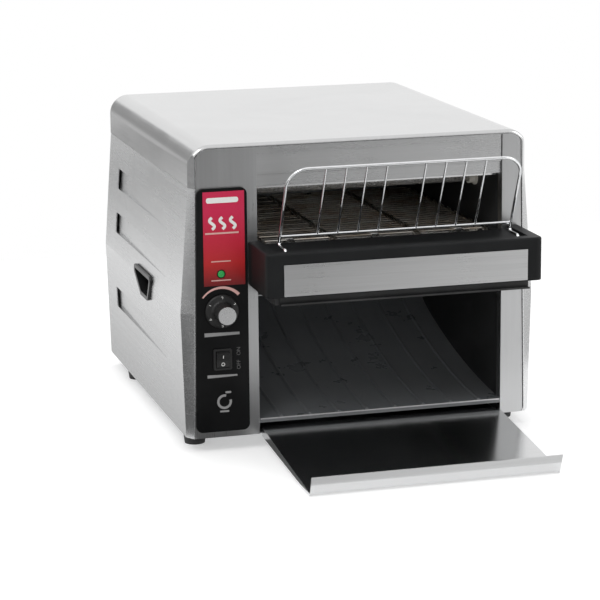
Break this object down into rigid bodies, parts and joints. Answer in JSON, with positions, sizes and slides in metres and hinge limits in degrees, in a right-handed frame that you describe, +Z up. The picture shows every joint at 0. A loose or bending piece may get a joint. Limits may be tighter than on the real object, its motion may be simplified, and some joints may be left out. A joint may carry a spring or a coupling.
{
  "type": "conveyor toaster",
  "caption": "Countertop conveyor toaster: steel body, wire belt between heaters, sloped loading rack, return chute and front exit tray, dial and rocker switch.",
  "frame": {"origin": "on the counter, under the middle of the whole toaster's bounding box", "axes": "+X to the right as seen from the front, +Y to the back, +Z up"},
  "size_m": [0.399, 0.602, 0.33],
  "materials": {
    "brushed_steel": "vertical brushed stainless sheet",
    "brushed_trim": "fine horizontal brushing",
    "tray_steel": "smooth satin sheet",
    "galvanised": "plain zinc sheet",
    "reflector": "bright aluminised sheet",
    "chrome_wire": "polished chrome",
    "belt_wire": "heat-tinted stainless wire",
    "bare_steel": "machined",
    "black_shelf": "fine satin moulding",
    "black_panel": "smooth moulding",
    "overlay_red": "printed film, red fading to black",
    "lamp_green": "translucent lens",
    "black_switch": "satin",
    "black_enamel": "glossy enamel",
    "ceramic_cap": "unglazed steatite",
    "quartz": "clear quartz tube",
    "filament": "resistance wire coil",
    "bronze": "sintered bronze",
    "motor_dark": "dark painted can and gearbox",
    "circuit": "solder-masked board with relay and heat sink",
    "fan_black": "moulded",
    "rubber_foot": "ribbed rubber",
    "terminal": "moulded terminal strip"
  },
  "bodies": {
    "root": {"top_cover": "brushed_steel", "right_side_panel": "brushed_steel", "left_side_panel": "brushed_steel", "left_column": "brushed_steel", "right_column": "brushed_steel", "front_fascia": "brushed_steel", "header_rail": "brushed_steel", "back_panel": "galvanised", "base_pan": "galvanised", "feet": "rubber_foot", "left_inner_wall": "black_enamel", "right_inner_wall": "black_enamel", "right_hand_hold": "black_panel", "left_hand_hold": "black_panel", "control_panel": "black_panel", "panel_overlay": "overlay_red", "indicator_lamp": "lamp_green", "speed_control": "bare_steel", "switch_housing": "black_switch", "belt_bands": "belt_wire", "belt_rods": "belt_wire", "bushes": "bronze", "drive_chain": "bare_steel", "motor_bracket": "galvanised", "gear_motor": "motor_dark", "upper_heater_tubes": "quartz", "lower_heater_tubes": "quartz", "heater_filaments": "filament", "heater_caps": "ceramic_cap", "upper_reflector": "reflector", "lower_reflector": "reflector", "return_chute": "black_enamel", "rear_guide": "galvanised", "heat_shield": "galvanised", "crumb_tray_runners": "galvanised", "loading_shelf": "black_shelf", "shelf_trim": "brushed_trim", "shelf_brackets": "galvanised", "fan_housing": "fan_black", "fan_guard": "chrome_wire", "cord_gland": "fan_black", "terminal_block": "terminal", "control_board": "circuit", "back_screws": "bare_steel", "cover_screws": "bare_steel"},
    "speed_knob": {"speed_knob": "black_switch", "knob_cap": "chrome_wire", "knob_shaft": "bare_steel"},
    "rocker": {"rocker": "black_switch"},
    "exit_tray": {"exit_tray": "tray_steel"},
    "crumb_tray": {"crumb_tray": "black_enamel"},
    "loading_rack": {"loading_rack": "chrome_wire"},
    "drive_shaft": {"drive_shaft": "bare_steel", "drive_belt_wheels": "bare_steel", "shaft_sprocket": "bare_steel"},
    "idler_shaft": {"idler_shaft": "bare_steel", "idler_belt_wheels": "bare_steel"},
    "motor_shaft": {"motor_shaft": "bare_steel", "motor_sprocket": "bare_steel"},
    "fan_rotor": {"fan_rotor": "fan_black"}
  },
  "joints": [
    {"name": "speed_dial", "type": "hinge", "parent": "root", "child": "speed_knob", "pos_m": [-0.1555, -0.111, 0.154], "axis": [0, -1, 0], "range_deg": [-140, 140]},
    {"name": "power_rocker", "type": "hinge", "parent": "root", "child": "rocker", "pos_m": [-0.1555, -0.113, 0.102], "axis": [-1, 0, 0], "range_deg": [0, 18]},
    {"name": "exit_tray_slide", "type": "slide", "parent": "root", "child": "exit_tray", "axis": [0, -1, 0], "range_m": [0, 0.08]},
    {"name": "crumb_tray_slide", "type": "slide", "parent": "root", "child": "crumb_tray", "axis": [0, -1, 0], "range_m": [0, 0.25]},
    {"name": "rack_lift", "type": "slide", "parent": "root", "child": "loading_rack", "axis": [0, 0, 1], "range_m": [0, 0.03]},
    {"name": "drive_turn", "type": "hinge", "parent": "root", "child": "drive_shaft", "pos_m": [0.0215, 0.177, 0.20462], "axis": [-1, 0, 0], "continuous": true, "deforming": ["belt_rods", "drive_chain"]},
    {"name": "idler_turn", "type": "hinge", "parent": "root", "child": "idler_shaft", "pos_m": [0.0215, -0.087, 0.20462], "axis": [-1, 0, 0], "continuous": true},
    {"name": "motor_turn", "type": "hinge", "parent": "root", "child": "motor_shaft", "pos_m": [-0.1242, 0.177, 0.10672], "axis": [-1, 0, 0], "continuous": true},
    {"name": "fan_turn", "type": "hinge", "parent": "root", "child": "fan_rotor", "pos_m": [-0.15, 0.2863, 0.1], "axis": [0, -1, 0], "continuous": true}
  ],
  "couplings": [
    {"joint": "idler_turn", "follows": "drive_turn", "ratio": 1},
    {"joint": "motor_turn", "follows": "drive_turn", "ratio": 1.8333}
  ]
}
